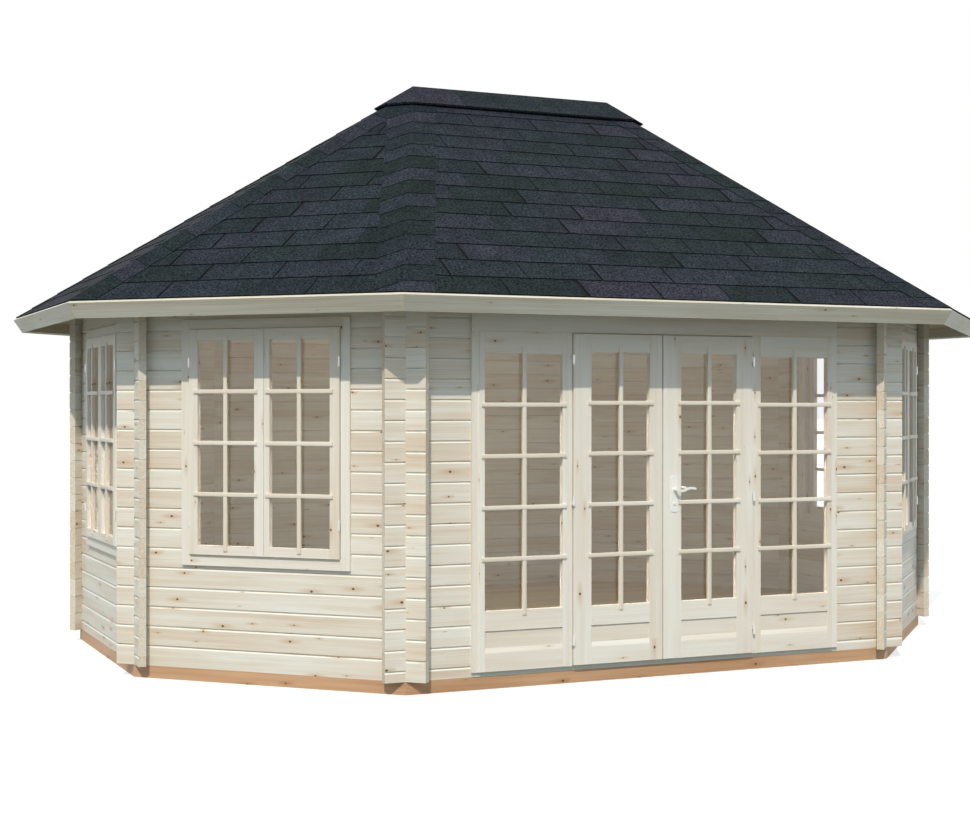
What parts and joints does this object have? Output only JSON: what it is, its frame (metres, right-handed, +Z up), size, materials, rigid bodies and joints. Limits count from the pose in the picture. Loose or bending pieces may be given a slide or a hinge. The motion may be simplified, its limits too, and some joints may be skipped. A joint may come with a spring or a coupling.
{
  "type": "octagonal log summerhouse",
  "caption": "Closed garden log summerhouse on a stretched octagon plan, with crossed log corners, hipped shingle roof, glazed double doors, sidelights and casement windows.",
  "frame": {"origin": "centre of the plan, on the ground under the foundation beams", "axes": "+Z up, +X along the front wall to the right of a person facing the doors, -Y out of the doors"},
  "size_m": [6.4896, 4.9966, 3.7587],
  "materials": {
    "log_spruce": "planed, untreated",
    "joinery_spruce": "planed, untreated",
    "fascia_spruce": "planed, untreated",
    "roof_spruce": "planed, untreated",
    "floor_spruce": "planed, untreated",
    "treated_timber": "sawn, impregnated brown",
    "sill_metal": "matt",
    "clear_glass": "clear",
    "hinge_steel": "zinc plated",
    "lock_metal": "satin",
    "bitumen_shingle": "mineral granules on bitumen"
  },
  "bodies": {
    "house": {"back_corner_roofs": "roof_spruce", "back_left_wall": "log_spruce", "back_right_wall": "log_spruce", "back_roof": "roof_spruce", "back_wall": "log_spruce", "diagonal_fascias": "fascia_spruce", "door_head": "joinery_spruce", "door_posts": "joinery_spruce", "door_sill": "sill_metal", "end_roofs": "roof_spruce", "floor": "floor_spruce", "floor_joists": "treated_timber", "foundation_frame": "treated_timber", "frame_hinges": "hinge_steel", "front_corner_roofs": "roof_spruce", "front_left_wall": "log_spruce", "front_left_window_frame": "joinery_spruce", "front_right_wall": "log_spruce", "front_right_window_frame": "joinery_spruce", "front_roof": "roof_spruce", "front_wall_left": "log_spruce", "front_wall_right": "log_spruce", "front_wall_top": "log_spruce", "hip_rafters": "roof_spruce", "left_end_wall": "log_spruce", "left_end_window_frame": "joinery_spruce", "left_sidelight": "joinery_spruce", "ridge_beam": "roof_spruce", "ridge_cap": "bitumen_shingle", "right_end_wall": "log_spruce", "right_end_window_frame": "joinery_spruce", "right_sidelight": "joinery_spruce", "shingles": "bitumen_shingle", "sidelight_glass": "clear_glass", "straight_fascias": "fascia_spruce", "window_glass": "clear_glass", "window_sashes": "joinery_spruce"},
    "left_door": {"left_door": "joinery_spruce", "left_door_glass": "clear_glass", "left_door_hinges": "hinge_steel"},
    "right_door": {"right_door": "joinery_spruce", "right_door_glass": "clear_glass", "right_door_hinges": "hinge_steel", "lock_plates": "lock_metal"},
    "lever": {"lever": "lock_metal"}
  },
  "joints": [
    {"name": "left_door_hinge", "type": "hinge", "parent": "house", "child": "left_door", "pos_m": [-0.603, -2.1285, 1.04], "axis": [0, 0, -1], "range_deg": [0, 165]},
    {"name": "right_door_hinge", "type": "hinge", "parent": "house", "child": "right_door", "pos_m": [0.603, -2.1285, 1.04], "axis": [0, 0, 1], "range_deg": [0, 165]},
    {"name": "lever_turn", "type": "hinge", "parent": "right_door", "child": "lever", "pos_m": [0.057, -2.1015, 1.091], "axis": [0, 1, 0], "range_deg": [0, 45], "stiffness_Nm_per_rad": 1}
  ]
}
